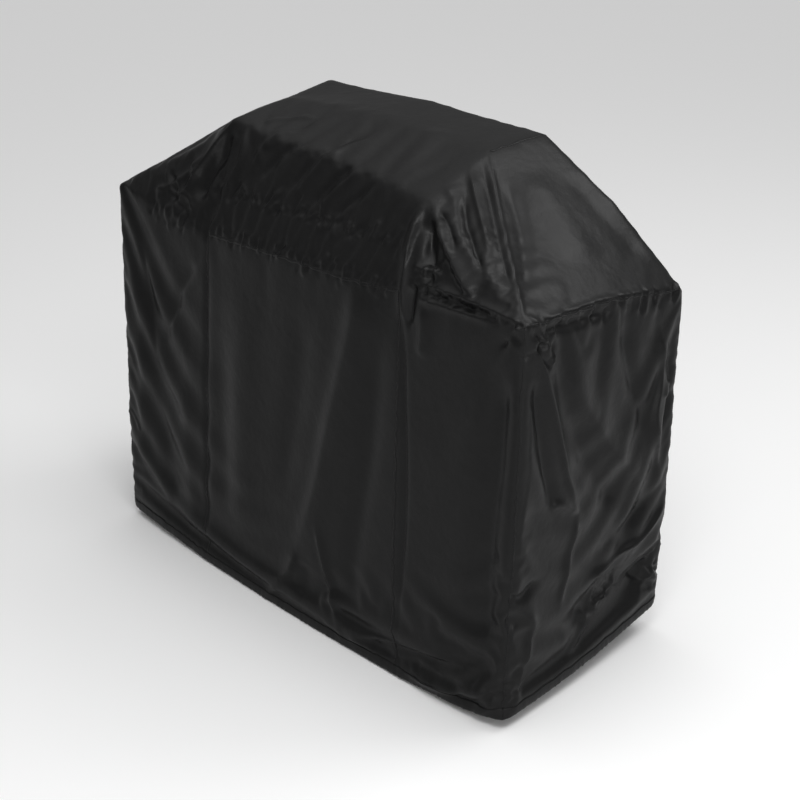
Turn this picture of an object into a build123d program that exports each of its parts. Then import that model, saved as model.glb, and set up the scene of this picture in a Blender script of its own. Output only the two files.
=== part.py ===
from build123d import *
import os

# Grill cover: a loose fabric cover sewn from flat panels, open at the bottom.
# Units are millimetres. +Z is up, +X runs along the cover's long side and -Y is
# its front. The origin is the centre of the footprint, at the hem's lower edge.
#
# The middle of the cover stands up over the grill's hood. Left and right of it the
# cover slopes down to the side shelves, and from there the walls drop to the hem.
# The cloth is far thinner than a solid can usefully be, so every panel has the
# stand-in thickness `cloth`, measured inward from the cover's true outer shape.

# Overall size
width = 1470.0
depth = 610.0
height = 1220.0

# Shape of the cover above the walls
shelf_height = 950.0
hood_half_width = 360.0
hood_front_y = -160.0
hood_front_height = 1160.0
top_front_y = 10.0
top_back_y = 195.0

# Cloth and hem
cloth = 2.0
hem_height = 28.0
hem_depth = 9.0
hem_wall = 1.5

# Elastic band that runs all the way round inside the hem
elastic_width = 12.0
elastic_thickness = 2.0
elastic_inset = 3.5
elastic_corner_radius = 6.0

# Binding tape over the seams, on the inside of the cover
tape_width = 18.0
tape_thickness = 1.0
tape_inset = 0.5

half_width = width / 2
half_depth = depth / 2
LEFT, RIGHT = -1, 1
FRONT, BACK = -1, 1
SIDES = (("left", LEFT), ("right", RIGHT))
WALLS = (("front", FRONT), ("back", BACK))

os.makedirs("parts", exist_ok=True)


def save(solid, name):
    """Label a finished piece and write it as its own STEP file."""
    solid.label = name
    export_step(solid, f"parts/{name}.step")


# ---------------------------------------------------------------------------
# Corner points of the cover's outer shape. The sign `side` chooses left or right,
# and the sign `wall` chooses front or back.
# ---------------------------------------------------------------------------
def wall_foot(side, wall, x=half_width):
    return Vector(side * x, wall * half_depth, hem_height)


def wall_top(side, wall, x=half_width):
    return Vector(side * x, wall * half_depth, shelf_height)


def hood_edge(side):
    return Vector(side * hood_half_width, hood_front_y, hood_front_height)


def top_front(side):
    return Vector(side * hood_half_width, top_front_y, height)


def top_back(side):
    return Vector(side * hood_half_width, top_back_y, height)


def centre_wall(wall):
    """Corners of a long wall's middle panel, from its left foot round to its left top."""
    return [
        wall_foot(LEFT, wall, hood_half_width),
        wall_foot(RIGHT, wall, hood_half_width),
        wall_top(RIGHT, wall, hood_half_width),
        wall_top(LEFT, wall, hood_half_width),
    ]


def end_wall(side):
    """Corners of an end wall, from its front foot round to its front top."""
    return [
        wall_foot(side, FRONT),
        wall_foot(side, BACK),
        wall_top(side, BACK),
        wall_top(side, FRONT),
    ]


hood_face = [
    wall_top(LEFT, FRONT, hood_half_width),
    wall_top(RIGHT, FRONT, hood_half_width),
    hood_edge(RIGHT),
    hood_edge(LEFT),
]
hood_back = [
    wall_top(LEFT, BACK, hood_half_width),
    wall_top(RIGHT, BACK, hood_half_width),
    top_back(RIGHT),
    top_back(LEFT),
]


def side_slope(side):
    """Corners of the slope from the top's end edge down to the side shelf."""
    return [wall_top(side, FRONT), wall_top(side, BACK), top_back(side), top_front(side)]


# The panels' edges are mitred on planes through this point, so that neighbouring
# panels meet face to face along every seam.
mitre_centre = Vector(0, 0, hem_height)


def panel_plane(corners):
    """Plane of a flat panel, with its normal pointing out of the cover."""
    first, second, last = corners[0], corners[1], corners[-1]
    normal = (second - first).cross(last - first).normalized()
    if normal.dot(first - mitre_centre) < 0:
        normal = normal * -1
    return Plane(origin=first, x_dir=second - first, z_dir=normal)


def inner_outline(corners):
    """The panel's corners moved inward by the cloth thickness, along the mitres."""
    reach = panel_plane(corners).z_dir.dot(corners[0] - mitre_centre)
    shrink = (reach - cloth) / reach
    return [mitre_centre + (corner - mitre_centre) * shrink for corner in corners]


def in_plane(plane, points):
    """3-D points that lie in a plane, as the plane's own 2-D points."""
    local = [plane.to_local_coords(point) for point in points]
    return [(point.X, point.Y) for point in local]


def make_panel(name, corners):
    """One sewn panel: a flat sheet with mitred edges."""
    outer_plane = panel_plane(corners)
    inner_corners = inner_outline(corners)
    inner_plane = Plane(
        origin=inner_corners[0], x_dir=outer_plane.x_dir, z_dir=outer_plane.z_dir
    )
    with BuildPart() as panel:
        with BuildSketch(outer_plane):
            with BuildLine():
                Polyline(*in_plane(outer_plane, corners), close=True)
            make_face()
        with BuildSketch(inner_plane):
            with BuildLine():
                Polyline(*in_plane(inner_plane, inner_corners), close=True)
            make_face()
        loft(ruled=True)
    save(panel.part, name)


# ---------------------------------------------------------------------------
# Wall panels, from the hem up to the height of the grill's side shelves
# ---------------------------------------------------------------------------
for wall_name, wall in WALLS:
    make_panel(f"{wall_name}_centre_panel", centre_wall(wall))
    for side_name, side in SIDES:
        make_panel(
            f"{wall_name}_{side_name}_panel",
            [
                wall_foot(side, wall, hood_half_width),
                wall_foot(side, wall),
                wall_top(side, wall),
                wall_top(side, wall, hood_half_width),
            ],
        )

for side_name, side in SIDES:
    make_panel(f"{side_name}_end_panel", end_wall(side))

# ---------------------------------------------------------------------------
# Panels over the grill's hood
# ---------------------------------------------------------------------------
make_panel("hood_face_panel", hood_face)
make_panel(
    "hood_slope_panel",
    [hood_edge(LEFT), hood_edge(RIGHT), top_front(RIGHT), top_front(LEFT)],
)
make_panel(
    "top_panel", [top_front(LEFT), top_front(RIGHT), top_back(RIGHT), top_back(LEFT)]
)
make_panel("hood_back_panel", hood_back)

# ---------------------------------------------------------------------------
# Panels from the hood down to the side shelves, and the gussets that close them
# ---------------------------------------------------------------------------
for side_name, side in SIDES:
    make_panel(f"{side_name}_slope_panel", side_slope(side))
    make_panel(
        f"front_{side_name}_shoulder_panel",
        [wall_top(side, FRONT, hood_half_width), wall_top(side, FRONT), hood_edge(side)],
    )
    make_panel(
        f"front_{side_name}_gusset",
        [hood_edge(side), wall_top(side, FRONT), top_front(side)],
    )
    make_panel(
        f"back_{side_name}_gusset",
        [wall_top(side, BACK, hood_half_width), wall_top(side, BACK), top_back(side)],
    )


# ---------------------------------------------------------------------------
# Hem: four lengths of flat tunnel, mitred at the corners, one under each wall
# ---------------------------------------------------------------------------
def hem_outline(half_length, wall_distance, outer, inner):
    """Plan of one wall's hem between two insets from the wall, with 45 degree ends."""
    return [
        (outer - half_length, outer - wall_distance),
        (half_length - outer, outer - wall_distance),
        (half_length - inner, inner - wall_distance),
        (inner - half_length, inner - wall_distance),
    ]


def make_hem(name, half_length, wall_distance, turn):
    """One wall's hem: a closed band with the elastic's tunnel inside it."""
    floor_plane = Plane.XY.rotated((0, 0, turn))
    with BuildPart() as hem:
        with BuildSketch(floor_plane):
            with BuildLine():
                Polyline(*hem_outline(half_length, wall_distance, 0, hem_depth), close=True)
            make_face()
        extrude(amount=hem_height)
        with BuildSketch(floor_plane.offset(hem_wall)):
            with BuildLine():
                Polyline(
                    *hem_outline(half_length, wall_distance, hem_wall, hem_depth - hem_wall),
                    close=True,
                )
            make_face()
        extrude(amount=hem_height - 2 * hem_wall, mode=Mode.SUBTRACT)
    save(hem.part, name)


make_hem("front_hem", half_width, half_depth, 0)
make_hem("right_hem", half_depth, half_width, 90)
make_hem("back_hem", half_width, half_depth, 180)
make_hem("left_hem", half_depth, half_width, 270)

with BuildPart() as hem_elastic:
    with BuildSketch(Plane.XY.offset((hem_height - elastic_width) / 2)):
        RectangleRounded(
            width - 2 * elastic_inset, depth - 2 * elastic_inset, elastic_corner_radius
        )
        inner_inset = elastic_inset + elastic_thickness
        RectangleRounded(
            width - 2 * inner_inset,
            depth - 2 * inner_inset,
            elastic_corner_radius - elastic_thickness,
            mode=Mode.SUBTRACT,
        )
    extrude(amount=elastic_width)
save(hem_elastic.part, "hem_elastic")


# ---------------------------------------------------------------------------
# Seam bindings: tapes that lie flat on the inside of a panel, along a seam
# ---------------------------------------------------------------------------
def make_binding(name, corners, start, end, centred=False):
    """Tape along the seam from corner `start` to corner `end` of a panel.

    A centred tape covers the seam of two panels that lie in one plane. Any other
    tape lies on its own panel, just inside the seam.
    """
    plane = panel_plane(corners)
    inner_corners = inner_outline(corners)
    along = (inner_corners[end] - inner_corners[start]).normalized()
    across = plane.z_dir.cross(along)
    panel_middle = sum(inner_corners, Vector(0, 0, 0)) / len(inner_corners)
    if across.dot(panel_middle - inner_corners[start]) < 0:
        across = across * -1
    near = -tape_width / 2 if centred else tape_inset
    low = inner_corners[start] + along * tape_width + across * near
    high = inner_corners[end] - along * tape_width + across * near
    tape_plane = Plane(origin=low, x_dir=along, z_dir=plane.z_dir * -1)
    outline = [low, high, high + across * tape_width, low + across * tape_width]
    with BuildPart() as tape:
        with BuildSketch(tape_plane):
            with BuildLine():
                Polyline(*in_plane(tape_plane, outline), close=True)
            make_face()
        extrude(amount=tape_thickness)
    save(tape.part, name)


for wall_name, wall in WALLS:
    make_binding(f"{wall_name}_left_seam_binding", centre_wall(wall), 0, 3, centred=True)
    make_binding(f"{wall_name}_right_seam_binding", centre_wall(wall), 1, 2, centred=True)

for side_name, side in SIDES:
    make_binding(f"front_{side_name}_corner_binding", end_wall(side), 0, 3)
    make_binding(f"back_{side_name}_corner_binding", end_wall(side), 1, 2)
    make_binding(f"{side_name}_shelf_seam_binding", side_slope(side), 0, 1)
    make_binding(f"{side_name}_top_seam_binding", side_slope(side), 2, 3)

make_binding("hood_front_seam_binding", hood_face, 0, 1)
make_binding("hood_back_seam_binding", hood_back, 0, 1)
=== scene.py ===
"""A shiny black fabric grill cover, draped as it hangs over a cart grill.

The cloth is cut as the flat panels of the CAD model, warped to
the way the corners settle, rounded off, relaxed by a cloth simulation, divided
finer, creased by listed folds and split into its sewn panels again.
"""
import math

import bmesh
import bpy
import numpy as np
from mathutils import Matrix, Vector
from mathutils.bvhtree import BVHTree
from mathutils.geometry import delaunay_2d_cdt


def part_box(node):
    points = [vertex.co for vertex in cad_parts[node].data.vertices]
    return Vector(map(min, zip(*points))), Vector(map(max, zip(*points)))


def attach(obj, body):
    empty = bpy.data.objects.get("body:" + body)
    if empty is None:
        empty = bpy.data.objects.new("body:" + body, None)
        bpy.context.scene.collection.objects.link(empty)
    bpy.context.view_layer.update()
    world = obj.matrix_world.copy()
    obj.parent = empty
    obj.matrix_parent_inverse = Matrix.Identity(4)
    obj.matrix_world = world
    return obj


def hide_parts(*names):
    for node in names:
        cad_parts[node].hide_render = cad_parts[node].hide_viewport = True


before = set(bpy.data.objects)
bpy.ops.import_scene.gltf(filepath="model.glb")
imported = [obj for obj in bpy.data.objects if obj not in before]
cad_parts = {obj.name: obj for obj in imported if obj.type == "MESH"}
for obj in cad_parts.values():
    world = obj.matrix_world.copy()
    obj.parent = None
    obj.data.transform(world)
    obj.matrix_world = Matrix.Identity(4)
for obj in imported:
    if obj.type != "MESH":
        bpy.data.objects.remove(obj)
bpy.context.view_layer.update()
rng = np.random.default_rng(7)

# ---------------------------------------------------------------------------
# Camera: front right of the cover and above it
# ---------------------------------------------------------------------------
CAMERA_PLACE = (2.621, -2.420, 2.124)
CAMERA_AZIMUTH = math.radians(46.35)
CAMERA_PITCH = math.radians(24.58)
CAMERA_LENS = 69.53


def add_camera():
    data = bpy.data.cameras.new("camera")
    data.lens = CAMERA_LENS
    data.sensor_width = 36
    data.clip_end = 100
    camera = bpy.data.objects.new("camera", data)
    camera.location = CAMERA_PLACE
    camera.rotation_euler = (math.pi / 2 - CAMERA_PITCH, 0, CAMERA_AZIMUTH)
    bpy.context.collection.objects.link(camera)
    bpy.context.scene.camera = camera


add_camera()

# ---------------------------------------------------------------------------
# The cut pattern, from the CAD panels
# ---------------------------------------------------------------------------
HALF_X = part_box("front_hem")[1][0]
HALF_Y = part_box("right_hem")[1][1]
HEM_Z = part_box("front_hem")[1][2]
HOOD_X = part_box("top_panel")[1][0]
SHELF_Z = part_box("front_centre_panel")[1][2]
EDGE_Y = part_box("hood_slope_panel")[0][1]
EDGE_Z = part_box("hood_face_panel")[1][2]
TOP_FRONT_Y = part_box("top_panel")[0][1]
TOP_BACK_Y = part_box("top_panel")[1][1]
TOP_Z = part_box("top_panel")[1][2]
LEFT, RIGHT, FRONT, BACK = -1, 1, -1, 1


def foot(side, wall, x=HALF_X, z=HEM_Z):
    return (side * x, wall * HALF_Y, z)


def ground(side, wall, x=HALF_X):
    return foot(side, wall, x, 0.0)


def shelf(side, wall, x=HALF_X):
    return (side * x, wall * HALF_Y, SHELF_Z)


def hood_edge(side):
    return (side * HOOD_X, EDGE_Y, EDGE_Z)


def top_front(side):
    return (side * HOOD_X, TOP_FRONT_Y, TOP_Z)


def top_back(side):
    return (side * HOOD_X, TOP_BACK_Y, TOP_Z)


def panel_outlines():
    """Every sewn panel's corners, anticlockwise from outside, by the CAD node's name."""
    outlines = {}
    for wall_name, wall in (("front", FRONT), ("back", BACK)):
        a, b = (LEFT, RIGHT) if wall == FRONT else (RIGHT, LEFT)
        outlines[f"{wall_name}_centre_panel"] = [
            foot(a, wall, HOOD_X), foot(b, wall, HOOD_X), shelf(b, wall, HOOD_X), shelf(a, wall, HOOD_X),
        ]
        outlines[f"{wall_name}_hem"] = [
            ground(a, wall), ground(b, wall), foot(b, wall),
            foot(b, wall, HOOD_X), foot(a, wall, HOOD_X), foot(a, wall),
        ]
        for side_name, side in (("left", LEFT), ("right", RIGHT)):
            corners = [
                foot(side, wall, HOOD_X), foot(side, wall), shelf(side, wall), shelf(side, wall, HOOD_X),
            ]
            outlines[f"{wall_name}_{side_name}_panel"] = corners if side * wall < 0 else corners[::-1]
    for side_name, side in (("left", LEFT), ("right", RIGHT)):
        a, b = (FRONT, BACK) if side == RIGHT else (BACK, FRONT)
        outlines[f"{side_name}_end_panel"] = [foot(side, a), foot(side, b), shelf(side, b), shelf(side, a)]
        outlines[f"{side_name}_hem"] = [ground(side, a), ground(side, b), foot(side, b), foot(side, a)]
        turn = 1 if side == RIGHT else -1
        outlines[f"{side_name}_slope_panel"] = [
            top_front(side), shelf(side, FRONT), shelf(side, BACK), top_back(side),
        ][::turn]
        outlines[f"front_{side_name}_shoulder_panel"] = [
            shelf(side, FRONT, HOOD_X), shelf(side, FRONT), hood_edge(side),
        ][::turn]
        outlines[f"front_{side_name}_gusset"] = [hood_edge(side), shelf(side, FRONT), top_front(side)][::turn]
        outlines[f"back_{side_name}_gusset"] = [
            shelf(side, BACK), shelf(side, BACK, HOOD_X), top_back(side),
        ][::turn]
    outlines["hood_face_panel"] = [
        shelf(LEFT, FRONT, HOOD_X), shelf(RIGHT, FRONT, HOOD_X), hood_edge(RIGHT), hood_edge(LEFT),
    ]
    outlines["hood_slope_panel"] = [hood_edge(LEFT), hood_edge(RIGHT), top_front(RIGHT), top_front(LEFT)]
    outlines["top_panel"] = [top_front(LEFT), top_front(RIGHT), top_back(RIGHT), top_back(LEFT)]
    outlines["hood_back_panel"] = [
        top_back(LEFT), top_back(RIGHT), shelf(RIGHT, BACK, HOOD_X), shelf(LEFT, BACK, HOOD_X),
    ]
    return outlines


SPACING = 0.0115
SEAM_SPACING = 0.0100
BULGE = 0.012
FINE = {"front_right_shoulder_panel": 0.007, "front_right_gusset": 0.007, "hood_face_panel": 0.009}


class Pattern:
    """The flat panels as one triangle mesh whose seams share their vertices."""

    def __init__(self):
        self.points = []
        self.index = {}
        self.faces = []
        self.panel_of_face = []
        self.flat = []
        self.names = []
        for name, outline in panel_outlines().items():
            self.add_panel(name, [np.array(c, float) for c in outline])
        self.points = np.array(self.points)
        self.faces = np.array(self.faces)
        self.flat = np.array(self.flat)
        self.panel_of_face = np.array(self.panel_of_face)

    def vertex(self, point):
        key = tuple(np.round(point, 9))
        if key not in self.index:
            self.index[key] = len(self.points)
            self.points.append(point)
        return self.index[key]

    def add_panel(self, name, corners):
        along = corners[1] - corners[0]
        along /= np.linalg.norm(along)
        normal = np.cross(corners[1] - corners[0], corners[-1] - corners[0])
        normal /= np.linalg.norm(normal)
        across = np.cross(normal, along)
        border, bulge = [], []
        for a, b in zip(corners, corners[1:] + corners[:1]):
            count = max(1, round(np.linalg.norm(b - a) / SEAM_SPACING))
            low, high = sorted([tuple(a), tuple(b)])
            steps = [np.array(low) + (np.array(high) - np.array(low)) * k / count for k in range(count + 1)]
            if tuple(a) != low:
                steps.reverse()
            border += steps[:-1]
            outward = np.cross((b - a) / np.linalg.norm(b - a), normal)
            room = 0.0 if name.endswith("_hem") else BULGE
            bulge += [outward * room * k * (count - k) / count**2 for k in range(count)]
        flat_border = np.array([[(p - corners[0]) @ along, (p - corners[0]) @ across] for p in border])
        step = FINE.get(name, SPACING)
        low, high = flat_border.min(0), flat_border.max(0)
        rows = int((high[1] - low[1]) / (step * 0.866)) + 1
        columns = int((high[0] - low[0]) / step) + 1
        grid = np.array([
            (low[0] + (i + 0.5 * (j % 2)) * step, low[1] + j * step * 0.866)
            for j in range(rows + 1) for i in range(columns + 1)
        ])
        grid += rng.uniform(-0.12, 0.12, grid.shape) * step
        inside = np.full(len(grid), True)
        corners_2d = np.array([[(c - corners[0]) @ along, (c - corners[0]) @ across] for c in corners])
        for a, b in zip(corners_2d, np.roll(corners_2d, -1, 0)):
            edge = (b - a) / np.linalg.norm(b - a)
            depth = edge[0] * (grid[:, 1] - a[1]) - edge[1] * (grid[:, 0] - a[0])
            inside &= depth > 0.55 * step
        # panels bulge a little for the triangulation alone, so that no three border points are in line
        bulged = flat_border + np.array([[b @ along, b @ across] for b in bulge])
        flat = np.vstack([bulged, grid[inside]])
        ring = list(range(len(flat_border)))
        result = delaunay_2d_cdt([Vector(p) for p in flat], [], [ring], 1, 1e-7, True)
        made, ids = [], []
        for p, sources in zip(result[0], result[3]):
            on_border = [k for k in sources if k < len(border)]
            made.append(flat_border[on_border[0]] if on_border else np.array(p))
            place = border[on_border[0]] if on_border else corners[0] + along * p[0] + across * p[1]
            ids.append(self.vertex(place))
        panel = len(self.names)
        self.names.append(name)
        for triangle in result[2]:
            self.faces.append([ids[k] for k in triangle])
            self.flat.append([made[k] for k in triangle])
            self.panel_of_face.append(panel)


# ---------------------------------------------------------------------------
# How the cloth settles: where points of the pattern hang, and the smooth warp
# that carries the rest of the cloth with them
# ---------------------------------------------------------------------------
# each: a point of the pattern, and where it hangs in millimetres
SETTLED = [
    # hem corners, and the front hem that swells outward and dips between them
    (ground(LEFT, FRONT), (-711, -291, 20)),
    (ground(RIGHT, FRONT), (722, -290, 28)),
    (ground(RIGHT, BACK), (689, 305, 74)),
    (ground(LEFT, BACK), (-700, 300, 34)),
    (ground(RIGHT, FRONT, 0.60), (600, -307, 14)),
    (ground(RIGHT, FRONT, HOOD_X), (400, -314, 3)),
    (ground(RIGHT, FRONT, 0.10), (100, -319, 0)),
    (ground(LEFT, FRONT, 0.10), (-100, -318, 0)),
    (ground(LEFT, FRONT, HOOD_X), (-337, -313, 3)),
    (ground(LEFT, FRONT, 0.56), (-550, -305, 16)),
    (ground(RIGHT, BACK, 0.0), (0, 314, 10)),
    ((HALF_X, 0.0, 0.0), (712, -5, 40)),
    ((-HALF_X, 0.0, 0.0), (-722, 0, 12)),
    # corners over the side shelves
    (shelf(LEFT, FRONT), (-704, -268, 966)),
    (shelf(RIGHT, FRONT), (731, -272, 979)),
    (shelf(RIGHT, BACK), (716, 278, 913)),
    (shelf(LEFT, BACK), (-712, 280, 945)),
    ((HALF_X, 0.0, SHELF_Z), (722, -10, 963)),
    ((-HALF_X, 0.0, SHELF_Z), (-716, 0, 952)),
    # where the front seams meet the foot of the hood
    (shelf(LEFT, FRONT, HOOD_X), (-322, -272, 922)),
    (shelf(RIGHT, FRONT, HOOD_X), (368, -272, 962)),
    (shelf(RIGHT, BACK, HOOD_X), (358, 296, 945)),
    (shelf(LEFT, BACK, HOOD_X), (-358, 296, 945)),
    # the hood and the top
    (hood_edge(LEFT), (-348, -140, 1184)),
    (hood_edge(RIGHT), (347, -175, 1135)),
    (top_front(LEFT), (-352, 10, 1205)),
    (top_front(RIGHT), (355, 14, 1216)),
    (top_back(LEFT), (-364, 187, 1230)),
    (top_back(RIGHT), (358, 200, 1223)),
    ((0.0, TOP_BACK_Y, TOP_Z), (0, 196, 1236)),
    ((0.5475, 0.25, 1.085), (545, 240, 1090)),
    ((-0.5475, 0.25, 1.085), (-540, 235, 1080)),
]


def settle(points):
    """Moves every point smoothly so that the named points land where they hang."""
    source = np.array([a for a, _ in SETTLED])
    offset = np.array([b for _, b in SETTLED]) / 1000 - source
    count = len(source)
    system = np.zeros((count + 4, count + 4))
    system[:count, :count] = np.linalg.norm(source[:, None] - source[None], axis=2)
    system[:count, count] = system[count, :count] = 1
    system[:count, count + 1:] = source
    system[count + 1:, :count] = source.T
    weights = np.linalg.solve(system, np.vstack([offset, np.zeros((4, 3))]))
    distance = np.linalg.norm(points[:, None] - source[None], axis=2)
    return points + distance @ weights[:count] + weights[count] + points @ weights[count + 1:]


def edges_of(faces):
    pairs = np.vstack([faces[:, [0, 1]], faces[:, [1, 2]], faces[:, [2, 0]]])
    return np.unique(np.sort(pairs, axis=1), axis=0)


def neighbour_mean(values, edges, count):
    total = np.zeros((count, values.shape[1]))
    degree = np.maximum(np.bincount(edges.ravel(), minlength=count), 1)[:, None]
    for axis in range(values.shape[1]):
        total[:, axis] = (
            np.bincount(edges[:, 0], values[edges[:, 1], axis], count)
            + np.bincount(edges[:, 1], values[edges[:, 0], axis], count)
        )
    return total / degree


def smooth(points, edges, rounds, strength):
    """Rounds the folded edges off; strength is one number for each point, 0 to 1."""
    for _ in range(rounds):
        points = points + strength[:, None] * 0.5 * (neighbour_mean(points, edges, len(points)) - points)
    return points


def normals_of(points, faces):
    a, b, c = (points[faces[:, k]] for k in range(3))
    face_normal = np.cross(b - a, c - a)
    normal = np.zeros_like(points)
    for corner in range(3):
        for axis in range(3):
            normal[:, axis] += np.bincount(faces[:, corner], face_normal[:, axis], len(points))
    return normal / np.maximum(np.linalg.norm(normal, axis=1, keepdims=True), 1e-12)


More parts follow.
